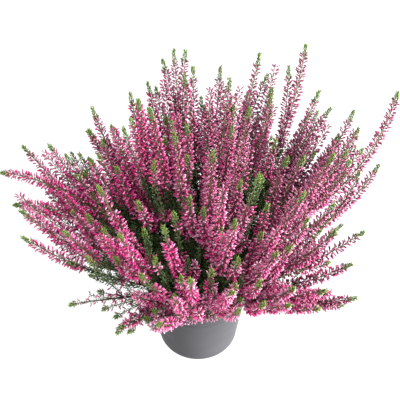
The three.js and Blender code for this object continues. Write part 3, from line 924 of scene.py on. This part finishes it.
# The view from the front: its degrees above the horizon, and in millimetres where it looks and from how far.
VIEW_ELEVATION = 44
VIEW_BACK = np.array((0.0, -cos(radians(VIEW_ELEVATION)), sin(radians(VIEW_ELEVATION))))
VIEW_UP = np.array((0.0, sin(radians(VIEW_ELEVATION)), cos(radians(VIEW_ELEVATION))))
VIEW_MIDDLE = np.array((2.1, 20.0, 183.7))
VIEW_DISTANCE = 950.0


def seen(points):
    """How far to the right and up points are seen from the front, in millimetres at the plant's middle."""
    apart = points - VIEW_MIDDLE
    nearer = VIEW_DISTANCE / (VIEW_DISTANCE - apart @ VIEW_BACK)
    return apart[:, 0] * nearer, apart @ VIEW_UP * nearer


@lru_cache
def gap_direction(x, y):
    """The way a gap runs, as seen from the front: out from the heart."""
    across, up = (float(part[0]) for part in seen(HEART[None]))
    return unit(np.array((x - across, y - up)))


def inside_gap(points, gaps):
    """How far inside a gap each point is seen: 0 or less outside, 1 in its middle."""
    across, up = seen(points)
    depth = np.full(len(points), -1.0)
    for x, y, half_length, half_width in gaps:
        out = gap_direction(x, y)
        along = (across - x) * out[0] + (up - y) * out[1]
        aside = (across - x) * out[1] - (up - y) * out[0]
        depth = np.maximum(depth, 1 - (along / half_length) ** 2 - (aside / half_width) ** 2)
    return depth


def leafy_at(points):
    """How leafy the plant is at each point: from 0 among the flowers to 1 in its heart and in the lanes."""
    heart = 1 - smooth_step(np.linalg.norm(points - HEART, axis=1), *HEART_EDGE)
    lane = smooth_step(inside_gap(points, LANES), 0.0, 0.5) * (points[:, 1] < 70)
    return np.maximum(heart, lane)


def clears_pot(path):
    """True if a path rises, and stays well above the pot's lip."""
    lowered = path.points([0.4, 0.7, 1.0]) - np.array((0, 0, OVER_POT))
    return path.end[2] > max(LOWEST_TIP, path.start[2]) and bool(above_pot(lowered).all())


def is_wanted(path):
    """True for a spike that fills the plant where it isn't open."""
    outer = path.points(np.linspace(0.45, 1, 12))
    in_lane = (inside_gap(outer, LANES) > 0.1).mean()
    in_wedge = (inside_gap(outer, WEDGES) > 0).mean()
    return clears_pot(path) and in_lane < MOST_IN_LANE and in_wedge < MOST_IN_WEDGE


def between_tips(shoots):
    """Ends for the spikes that fill the plant: between the tips of neighbouring shoots, and further in."""
    tips = np.array([shoot.main.end for shoot in shoots])
    apart = np.linalg.norm(tips[:, None] - tips[None], axis=2)
    near = np.argsort(apart, axis=1)[:, 1:5]
    least, most = NEIGHBOURS
    pairs = {(min(i, j), max(i, j)) for i in range(len(tips)) for j in near[i] if least < apart[i, j] < most}
    return [(shoots[i], (tips[i] + tips[j]) / 2) for i, j in sorted(pairs)]


def off_axis(place):
    return hypot(place[0], place[1])


def nearest_trunk(end):
    return trunk_for(degrees(atan2(end[1], end[0])) % 360, off_axis(end))


def first_shoots():
    """A shoot of each trunk."""
    return {shoot.trunk: shoot for shoot in reversed(grown())}


def is_below(path, parent):
    """True for a side path that ends lower and further in than its parent."""
    return path.end[2] < parent.end[2] - LOWER_BY and off_axis(path.end) < off_axis(parent.end) - NEARER_BY


def leaning(parent, share, length, draw, opening, rest, lift):
    """A side path with a drawn roll. In front it's the one of four that leans furthest to the right."""
    tries = 4 if parent.end[1] < 30 and parent.end[0] > -30 else 1
    rolls = [draw.uniform(0, 2 * pi) for _ in range(tries)]
    paths = [side_path(parent, share, length, roll, opening, rest, lift) for roll in rolls]
    return max(paths, key=lambda path: path.end[0])


def thinner(tip, draw):
    """The length of the leafy tip of a spike inside the plant: mostly it has none."""
    return tip if draw.random() < TUFTED_SHARE else NO_TIP


@lru_cache
def spikes():
    """All flower spikes: those of the nodes, and others between them."""
    draw = Random(5)
    found = []
    for shoot in grown():
        main = shoot.main
        tuft = TUFT_LENGTH * (1 if main.end[2] > TALL or off_axis(main.end) > FAR_OUT else 0.7)
        found.append(Spike(shoot, main, shoot.bloom_from - 0.02, draw, tip=tuft))
        found += [Spike(shoot, side, 0.08, draw) for side in shoot.sides]
        front = main.end[1] < -60
        if shoot.number in SINGLE_SHOOTS:
            continue
        for _ in range(2):
            share = draw.uniform(0.26, shoot.bloom_from + 0.05)
            length = main.length * (1 - share) * draw.uniform(0.35, 0.62)
            path = leaning(main, share, length, draw, *LOW_SIDE)
            if is_wanted(path) and is_below(path, main):
                found.append(Spike(shoot, path, 0.2, draw, tip=thinner(8, draw)))
        for _ in range(3 if front else 2):
            share = draw.uniform(shoot.bloom_from - 0.06, 0.7)
            path = leaning(main, share, draw.uniform(22, 38), draw, *HIGH_SIDE)
            if is_wanted(path) and is_below(path, main):
                found.append(Spike(shoot, path, 0.14, draw, tip=thinner(6, draw), size=0.92))
    for shoot, middle in between_tips(grown()):
        path = main_path(shoot.trunk, HEART + (middle - HEART) * draw.uniform(0.8, 0.96))
        if is_wanted(path) and (middle[1] > 0 or draw.random() < 0.45):
            found.append(Spike(shoot, path, 0.5, draw, tip=thinner(9, draw)))
    firsts = first_shoots()
    for place in FILLERS:
        end = tip_at(*place)
        shoot = firsts[nearest_trunk(end)]
        found.append(Spike(shoot, main_path(shoot.trunk, end), 0.42, draw, tip=9))
    for turn in FRINGE_TURNS:
        end = tip_at(turn, draw.uniform(*FRINGE_REACH), draw.uniform(*FRINGE_HEIGHT))
        shoot = firsts[nearest_trunk(end)]
        path = main_path(shoot.trunk, end)
        found.append(Spike(shoot, path, 0.45, draw, tip=thinner(6, draw), size=0.92, hangs=True))
    return found


def golden_turns(count, noise):
    return np.arange(count) * GOLDEN_ANGLE + noise.normal(0, 0.3, count)


def leaf_sizes(lengths, width, thickness):
    """Sizes of leaves, whose width and thickness are shares of their length."""
    return np.stack([lengths * width, lengths * thickness, lengths], axis=1)


def bud_places(spike, settings, noise):
    """Matrices, tints and duskiness for the buds of a spike, which stand round it in whorls."""
    span = (spike.last - spike.first) * spike.path.length - 2
    gap = mix(*WHORL_GAP, spike.dusk) / settings.density
    each = BUDS_IN_WHORL - 1 if spike.dusk > VERY_DUSKY else BUDS_IN_WHORL
    if spike.leafy:
        gap, each = gap * 2.4, 2
    elif spike.hangs:
        gap *= 1.4
    whorls = max(2, int(span / gap))
    level = np.linspace(0, 1, whorls)
    level = np.repeat(level * (0.88 + 0.12 * level), each)
    count = len(level)
    up = np.clip(level + noise.normal(0, 0.55, count) / span, 0, 1)
    turns = np.repeat(np.arange(whorls) * pi / each, each) + np.tile(np.arange(each) * 2 * pi / each, whorls)
    turns = turns + noise.normal(0, 0.26, count)
    young = smooth_step(up, 0.6, 1.0)
    scale = spike.size * (1 - 0.16 * young)
    lengths = settings.bud_length / MM * scale * noise.uniform(0.84, 1.16, count)
    plump = 1 + spike.dusk * (0.95 - 0.8 * spike.dusk)
    widths = settings.bud_width / MM * scale * plump * noise.uniform(0.85, 1.15, count)
    tilts = np.radians(72 - 14 * young) + noise.normal(0, mix(0.22, 0.13, spike.dusk), count)
    outs = noise.uniform(0.1, 1.3, count) * (1 - 0.6 * young)
    shares = mix(spike.first, spike.last, up)
    sizes = np.stack([widths, widths, lengths], axis=1)
    places = set_round(spike.path, shares, turns, tilts, outs, sizes)
    tints = 0.42 + spike.tint + noise.normal(0, 0.42, count)
    tints = tints + 0.3 * young**2 * (1 - spike.dusk) + 0.15 * spike.hangs
    dusks = spike.dusk * (0.55 + 0.45 * up) + noise.normal(0, 0.08, count)
    roots = spike.path.points(shares)
    kept = above_pot(roots) & (leafy_at(roots) < noise.uniform(0.05, 0.55, count)) | spike.hangs
    return places[kept], np.clip(tints, 0, 1)[kept], np.clip(dusks, 0, 1)[kept]


def petal(settings):
    """Buds: a pale stalk, then crimson to rose, and pale at the point; the dark crimson foot is partly
    painted shade and the pale point partly a painted highlight. Dusky ones are plum.
    """
    finish = Finish("bud")
    along, tint, dusk = finish.mark("along"), finish.mark("tint"), finish.mark("dusk")
    deep, rose, pale = settings.deep, settings.rose, settings.pale
    # Dark crimson at the foot is partly painted shade; the near-white at the point is partly a painted
    # highlight.
    reds = [(0.34, deep), (0.6, rose), (0.85, times(rose, 1.25)), (1.0, pale)]
    strong = finish.ramp(along, [(0.16, STALK), *reds])
    pinks = [(0.32, times(pale, 0.55)), (0.55, times(pale, 0.8)), (0.8, pale), (1.0, PALE_POINT_AND_HIGHLIGHT)]
    light = finish.ramp(along, [(0.16, STALK), *pinks])
    colour = finish.blend(strong, light, finish.span(tint, 0.3, 1.0))
    plum = finish.ramp(along, PLUM)
    finish.link(finish.blend(colour, plum, finish.span(dusk, 0.1, 1, 0, 0.85)), "Base Color")
    finish.set("Roughness", 0.45)
    finish.set("Specular IOR Level", 0.45)
    return finish.material


def gathered(name, shape, batches, marks):
    """
    The mesh of a shape repeated over batches. A batch starts with its matrices, and then has an array for
    each mark, with a value for each matrix.
    """
    places = np.concatenate([batch[0] for batch in batches])
    mesh = mesh_from(name, repeated(shape, places))
    for i, mark in enumerate(marks, start=1):
        values = np.concatenate([batch[i] for batch in batches])
        add_mark(mesh, mark, np.repeat(values, len(shape.vertices)))
    return mesh


def of_plantlet(things, index):
    return [thing for thing in things if thing.shoot.trunk == index]


class HeatherMakeBlooms(bpy.types.Operator):
    """Sets the buds round every flower spike"""

    bl_idname = "heather.make_blooms"
    bl_label = "Buds"

    def execute(self, context):
        settings = context.scene.heather_blooms
        finish = petal(settings)
        bud = spindle("bud", 3, BUD_RINGS)
        noise = np.random.default_rng(3)
        for index in range(len(TRUNKS)):
            batches = [bud_places(spike, settings, noise) for spike in of_plantlet(spikes(), index)]
            mesh = gathered(f"buds_{index + 1}", bud, batches, ["tint", "dusk"])
            nodes = [shoot.plume for shoot in grown() if shoot.trunk == index]
            add_piece(mesh, finish, nodes)
        return {"FINISHED"}


class Twig:
    """
    A leafy twig, with leaves from the share first. Its age is 0 for the dark ones inside the plant and 1 for
    those in the light; the dark inside is partly older leaves and partly painted shade.
    """

    def __init__(self, shoot, path, age, first=0.1):
        self.shoot, self.path, self.age, self.first = shoot, path, age, first


def lane_ends(draw):
    """Ends for the dark leafy shoots that fill the lanes, near where a look into each passes the heart."""
    for x, y, half_length, half_width in LANES + LEAFY_PLACES:
        out = gap_direction(x, y)
        for _ in range(int(half_length * half_width / 13)):
            along, aside = draw.uniform(-0.3, 1.05) * half_length, draw.uniform(-0.9, 0.9) * half_width
            across, up = x + along * out[0] + aside * out[1], y + along * out[1] - aside * out[0]
            middle = VIEW_MIDDLE + VIEW_UP * up + np.array((across, 0.0, 0.0))
            depth = (HEART - middle) @ VIEW_BACK + draw.uniform(-20, 30)
            nearer = (VIEW_DISTANCE - depth) / VIEW_DISTANCE
            end = VIEW_MIDDLE + (middle - VIEW_MIDDLE) * nearer + VIEW_BACK * depth
            if end[2] > 112:
                yield end


@lru_cache
def twigs(count):
    """The nodes' twigs, a number of twigs on each branch, and leafy shoots between the flowering ones."""
    draw = Random(8)
    found = []
    for shoot in grown():
        found += [Twig(shoot, path, 0.5) for path in shoot.twigs]
        for i in range(count):
            share = mix(0.1, shoot.bloom_from + 0.1, (i + draw.random()) / count)
            length, roll = draw.uniform(*LEAFY_LENGTH), draw.uniform(0, 2 * pi)
            opening, rest = draw.uniform(*LEAFY_OPEN), draw.uniform(*LEAFY_REST)
            path = side_path(shoot.main, share, length, roll, opening, rest, LEAFY_LIFT)
            reach = off_axis(path.end)
            if path.end[2] > (98 if reach < 62 else 90) and inside_gap(path.end[None], WEDGES)[0] < 0:
                # Twigs nearer the axis are darker: partly older leaves, partly painted shade inside the
                # plant.
                found.append(Twig(shoot, path, clamp((reach - 35) / 90 + draw.gauss(0, 0.15))))
    for shoot, middle in between_tips(grown()):
        path = main_path(shoot.trunk, HEART + (middle - HEART) * draw.uniform(0.45, 0.68))
        if clears_pot(path):
            # These inner twigs are dark: partly older leaves, partly painted shade.
            found.append(Twig(shoot, path, draw.uniform(0.0, 0.35)))
    firsts = first_shoots()
    heart_ends = [
        tip_at(draw.uniform(*turn), draw.uniform(*reach), draw.uniform(*height))
        for number, turn, reach, height in HEART_SHOOTS
        for _ in range(number)
    ]
    for end in [*lane_ends(draw), *heart_ends]:
        shoot = firsts[nearest_trunk(end)]
        # Leafy shoots in the lanes and the heart are mostly dark: partly older leaves, partly painted shade
        # where the inside of the plant shows.
        found.append(Twig(shoot, main_path(shoot.trunk, end), draw.uniform(0.0, 0.8), first=0.35))
    return found


def twig_leaf_places(twig, settings, noise):
    """Scale leaves in close rows along a twig."""
    count = int(twig.path.length * (1 - twig.first) * LEAVES_PER_MM)
    up = (np.arange(count) + 0.5) / count
    lengths = settings.leaf_length / MM * (1 - 0.25 * up) * noise.uniform(0.8, 1.2, count)
    sizes = leaf_sizes(lengths, 0.42, 0.26)
    tilts = np.radians(50 - 16 * up) + noise.normal(0, 0.16, count)
    turns, outs = golden_turns(count, noise), np.full(count, 0.3)
    places = set_round(twig.path, mix(twig.first, 1, up), turns, tilts, outs, sizes)
    # Lower for twigs inside the plant, where the dark is partly painted shade; higher towards a twig's end.
    ages = 0.12 + 0.45 * twig.age + 0.15 * up + noise.normal(0, 0.07, count)
    return places, np.clip(ages, 0, 1), np.full(count, 0.03)


def bract_places(spike, noise):
    """Leaves along a spike's stem: dark ones where it has no buds, and small olive ones between them."""
    count = int(spike.path.length * BRACTS_PER_MM)
    up = (np.arange(count) + 0.5) / count
    shares = mix(0.1, spike.last, up)
    roots = spike.path.points(shares)
    bare = np.maximum(leafy_at(roots), shares < spike.first)
    share = 1 if spike.leafy else 0.9 if spike.hangs else mix(0.3, 0.55, spike.dusk)
    kept = above_pot(roots) & ((bare > noise.uniform(0.1, 0.7, count)) | (noise.random(count) < share))
    lengths = mix(noise.uniform(2.2, 3.6, count) + 1.3 * spike.hangs, noise.uniform(4.4, 5.6, count), bare)
    sizes = leaf_sizes(lengths, 0.4, 0.25)
    tilts = np.radians(50 - 12 * up) + noise.normal(0, 0.18, count)
    turns, outs = golden_turns(count, noise), noise.uniform(0.2, 1.0, count)
    places = set_round(spike.path, shares, turns, tilts, outs, sizes)
    ages = mix(0.42 + 0.12 * up, 0.35, bare) + noise.normal(0, 0.1, count)
    faded = mix(0.2 if spike.leafy else 0.4 if spike.hangs else 0.75, 0.03, bare)
    return places[kept], np.clip(ages, 0, 1)[kept], faded[kept]


def tip_places(spike, noise):
    """The tuft of young leaves at the end of a spike: they stand out, and the upper ones are longer."""
    count = int(12 + spike.tip * 2)
    up = (np.arange(count) + 0.5) / count
    lengths = (4.6 + 0.6 * up) * noise.uniform(0.85, 1.15, count)
    sizes = leaf_sizes(lengths, 0.32, 0.25)
    tilts = np.radians(50 - 36 * up**1.4) + noise.normal(0, 0.14, count)
    shares = mix(spike.last - 1.5 / spike.path.length, 1 - 3.2 / spike.path.length, up)
    turns, outs = golden_turns(count, noise), np.full(count, 0.3)
    places = set_round(spike.path, shares, turns, tilts, outs, sizes)
    ages = np.clip(0.68 - 0.15 * spike.dusk + 0.2 * up + noise.normal(0, 0.1, count), 0, 1)
    return places, ages, np.zeros(count)


def leaf_skin(settings):
    finish = Finish("leaf")
    along, age = finish.mark("along"), finish.mark("age")
    green, fresh = settings.green, settings.fresh
    # Dark for the leaves inside the plant, partly older leaves and partly painted shade; green in the light
    # and fresh at the tips.
    colour = finish.ramp(age, [(0.1, settings.dark), (0.4, green), (0.7, mixed(green, fresh)), (0.95, fresh)])
    colour = finish.blend(colour, LEAF_POINT, finish.span(along, 0.5, 1, 0, 0.2))
    finish.link(finish.blend(colour, FADED, finish.mark("faded")), "Base Color")
    finish.set("Roughness", 0.55)
    finish.set("Specular IOR Level", 0.35)
    return finish.material


class HeatherMakeLeaves(bpy.types.Operator):
    """Sets scale leaves on the twigs, between the buds and in the tufts at the tips"""

    bl_idname = "heather.make_leaves"
    bl_label = "Leaves"

    def execute(self, context):
        settings = context.scene.heather_leaves
        finish = leaf_skin(settings)
        leaf = spindle("leaf", 3, LEAF_RINGS)
        noise = np.random.default_rng(4)
        for index in range(len(TRUNKS)):
            own_twigs = of_plantlet(twigs(settings.twigs), index)
            own_spikes = of_plantlet(spikes(), index)
            batches = [twig_leaf_places(twig, settings, noise) for twig in own_twigs]
            batches += [bract_places(spike, noise) for spike in own_spikes]
            tips = [tip_places(spike, noise) for spike in own_spikes if spike.tip > NO_TIP]
            for name, places in (("leaves", batches), ("tips", tips)):
                mesh = gathered(f"{name}_{index + 1}", leaf, places, ["age", "faded"])
                add_piece(mesh, finish)
        return {"FINISHED"}


def bark():
    """Brown wood near the trunk that turns olive towards the flowers."""
    finish = Finish("bark")
    reach = finish.node("ShaderNodeVectorMath", [("operation", "DISTANCE")])
    finish.tree.links.new(finish.place(), reach.inputs[0])
    reach.inputs[1].default_value = (0, 0, 0.085)
    grain = finish.noise(500, 3)
    wood = finish.ramp(grain, [(0.3, (0.02, 0.013, 0.008)), (0.7, (0.06, 0.038, 0.022))])
    young = finish.ramp(grain, [(0.3, (0.1, 0.065, 0.035)), (0.7, (0.2, 0.15, 0.08))])
    share = finish.span(reach.outputs["Value"], 0.11, 0.24)
    finish.link(finish.blend(wood, young, share), "Base Color")
    finish.set("Roughness", 0.8)
    finish.bump(grain, 0.5, 0.0006)
    return finish.material


class HeatherMakeStems(bpy.types.Operator):
    """Grows the trunks, branches and twigs"""

    bl_idname = "heather.make_stems"
    bl_label = "Stems"

    def execute(self, context):
        finish = bark()
        for index, trunk in enumerate(TRUNKS):
            stems = bmesh.new()
            for shoot in grown():
                if shoot.trunk == index:
                    shares = [i / 14 for i in range(14)] + [1 - 3 / shoot.main.length]
                    taper = [(share, mix(*BRANCH_RADII, share**0.8)) for share in shares]
                    add_tube(stems, shoot.main, taper, 6)
            for spike in of_plantlet(spikes(), index):
                if spike.path is not spike.shoot.main:
                    add_tube(stems, spike.path, SPIKE_TAPER, 5)
            for twig in of_plantlet(twigs(context.scene.heather_leaves.twigs), index):
                add_tube(stems, twig.path, TWIG_TAPER, 4)
            foot = np.array((trunk[0], trunk[1], SOIL_TOP - ROOT_DEPTH))
            top = np.array((trunk[0], trunk[1], SOIL_TOP + TRUNK_RISE))
            post = Path(foot, (foot + top) / 2, top, np.array((1.0, 0.0, 0.0)))
            add_tube(stems, post, TRUNK_TAPER, 12)
            mesh = mesh_from(f"stems_{index + 1}", stems)
            add_piece(mesh, finish, [f"plantlet_{index + 1}"])
        return {"FINISHED"}


# ---------------------------------------------------------------- stage
LENS = 87
FLOOR_SIZE = 30
PLANT_MIDDLE = (0, 0, 0.15)
# Name, place, target and size of each light in metres, and its share of the key light's power.
LIGHTS = [
    ("key_light", (1.3, -0.5, 1.1), PLANT_MIDDLE, 0.9, 1),
    ("top_light", (-0.3, -0.6, 1.8), PLANT_MIDDLE, 1.4, 0.3),
    ("front_light", (0.2, -1.5, 0.75), PLANT_MIDDLE, 0.5, 0.17),
    ("low_light", (1.15, -0.45, 0.1), (0, 0, 0.06), 0.3, 0.36),
]


def camera_looking(name, target, elevation, distance, lens):
    """A camera in front of the object. Lengths are in millimetres, and the elevation in degrees."""
    data = bpy.data.cameras.new(name)
    data.lens, data.sensor_width = lens, 36
    data.clip_start, data.clip_end = 0.01, 100
    camera = bpy.data.objects.new(name, data)
    back = Vector((0, -cos(radians(elevation)), sin(radians(elevation))))
    camera.location = (Vector(target) + back * distance) * MM
    camera.rotation_mode = "QUATERNION"
    camera.rotation_quaternion = (-back).to_track_quat("-Z", "Y")
    return camera


def soft_light(name, place, target, size, power):
    data = bpy.data.lights.new(name, "AREA")
    data.shape, data.size, data.energy = "SQUARE", size, power
    light = bpy.data.objects.new(name, data)
    light.location = place
    light.rotation_mode = "QUATERNION"
    light.rotation_quaternion = (Vector(target) - Vector(place)).to_track_quat("-Z", "Y")
    return light


class HeatherMakeStage(bpy.types.Operator):
    """Sets up the pale floor, the soft light and the camera"""

    bl_idname = "heather.make_stage"
    bl_label = "Stage"

    def execute(self, context):
        settings = context.scene.heather_stage
        scene = context.scene
        ground = bmesh.new()
        bmesh.ops.create_grid(ground, x_segments=1, y_segments=1, size=FLOOR_SIZE)
        floor_piece = bpy.data.objects.new("floor", mesh_from("floor", ground))
        scene.collection.objects.link(floor_piece)
        finish = Finish("floor")
        shades = [(0.3, times(settings.floor_colour, 0.99)), (0.7, settings.floor_colour)]
        finish.link(finish.ramp(finish.noise(1.5, 2), shades), "Base Color")
        finish.set("Roughness", 0.9)
        finish.set("Specular IOR Level", 0.1)
        finish.set("Emission Color", (1, 1, 1, 1))
        finish.set("Emission Strength", 1.0)
        floor_piece.data.materials.append(finish.material)

        for name, place, target, size, share in LIGHTS:
            light = soft_light(name, place, target, size, settings.key_power * share)
            scene.collection.objects.link(light)
        world = bpy.data.worlds.new("sky")
        world.use_nodes = True
        world.node_tree.nodes["Background"].inputs["Color"].default_value = (1, 1, 1, 1)
        world.node_tree.nodes["Background"].inputs["Strength"].default_value = settings.sky
        scene.world = world
        camera = camera_looking("camera", VIEW_MIDDLE, VIEW_ELEVATION, VIEW_DISTANCE, LENS)
        scene.collection.objects.link(camera)
        scene.camera = camera
        scene.view_settings.view_transform = "Standard"
        return {"FINISHED"}


# ---------------------------------------------------------------- panel and registration
OPERATORS = (
    HeatherMakePot, HeatherMakeSoil, HeatherMakeStems, HeatherMakeBlooms, HeatherMakeLeaves, HeatherMakeStage,
)
SETTINGS = {
    "heather_pot": HeatherPotSettings,
    "heather_blooms": HeatherBloomSettings,
    "heather_leaves": HeatherLeafSettings,
    "heather_stage": HeatherStageSettings,
}


class HeatherPanel(bpy.types.Panel):
    bl_idname = "VIEW3D_PT_heather"
    bl_label = "Potted heather"
    bl_space_type = "VIEW_3D"
    bl_region_type = "UI"
    bl_category = "Heather"

    def draw(self, context):
        for operator in OPERATORS:
            self.layout.operator(operator.bl_idname)
        for name in SETTINGS:
            settings = getattr(context.scene, name)
            box = self.layout.box()
            for field in settings.bl_rna.properties:
                if not field.is_readonly and field.identifier != "name":
                    box.prop(settings, field.identifier)


def register():
    for kind in (*SETTINGS.values(), *OPERATORS, HeatherPanel):
        bpy.utils.register_class(kind)
    for name, kind in SETTINGS.items():
        setattr(bpy.types.Scene, name, PointerProperty(type=kind))


def unregister():
    for name in SETTINGS:
        delattr(bpy.types.Scene, name)
    for kind in (HeatherPanel, *reversed(OPERATORS), *SETTINGS.values()):
        bpy.utils.unregister_class(kind)


def main():
    register()
    bpy.ops.heather.make_stage()
    bpy.ops.heather.make_pot()
    bpy.ops.heather.make_soil()
    bpy.ops.heather.make_stems()
    bpy.ops.heather.make_blooms()
    bpy.ops.heather.make_leaves()
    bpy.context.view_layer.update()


if __name__ == "__main__":
    main()
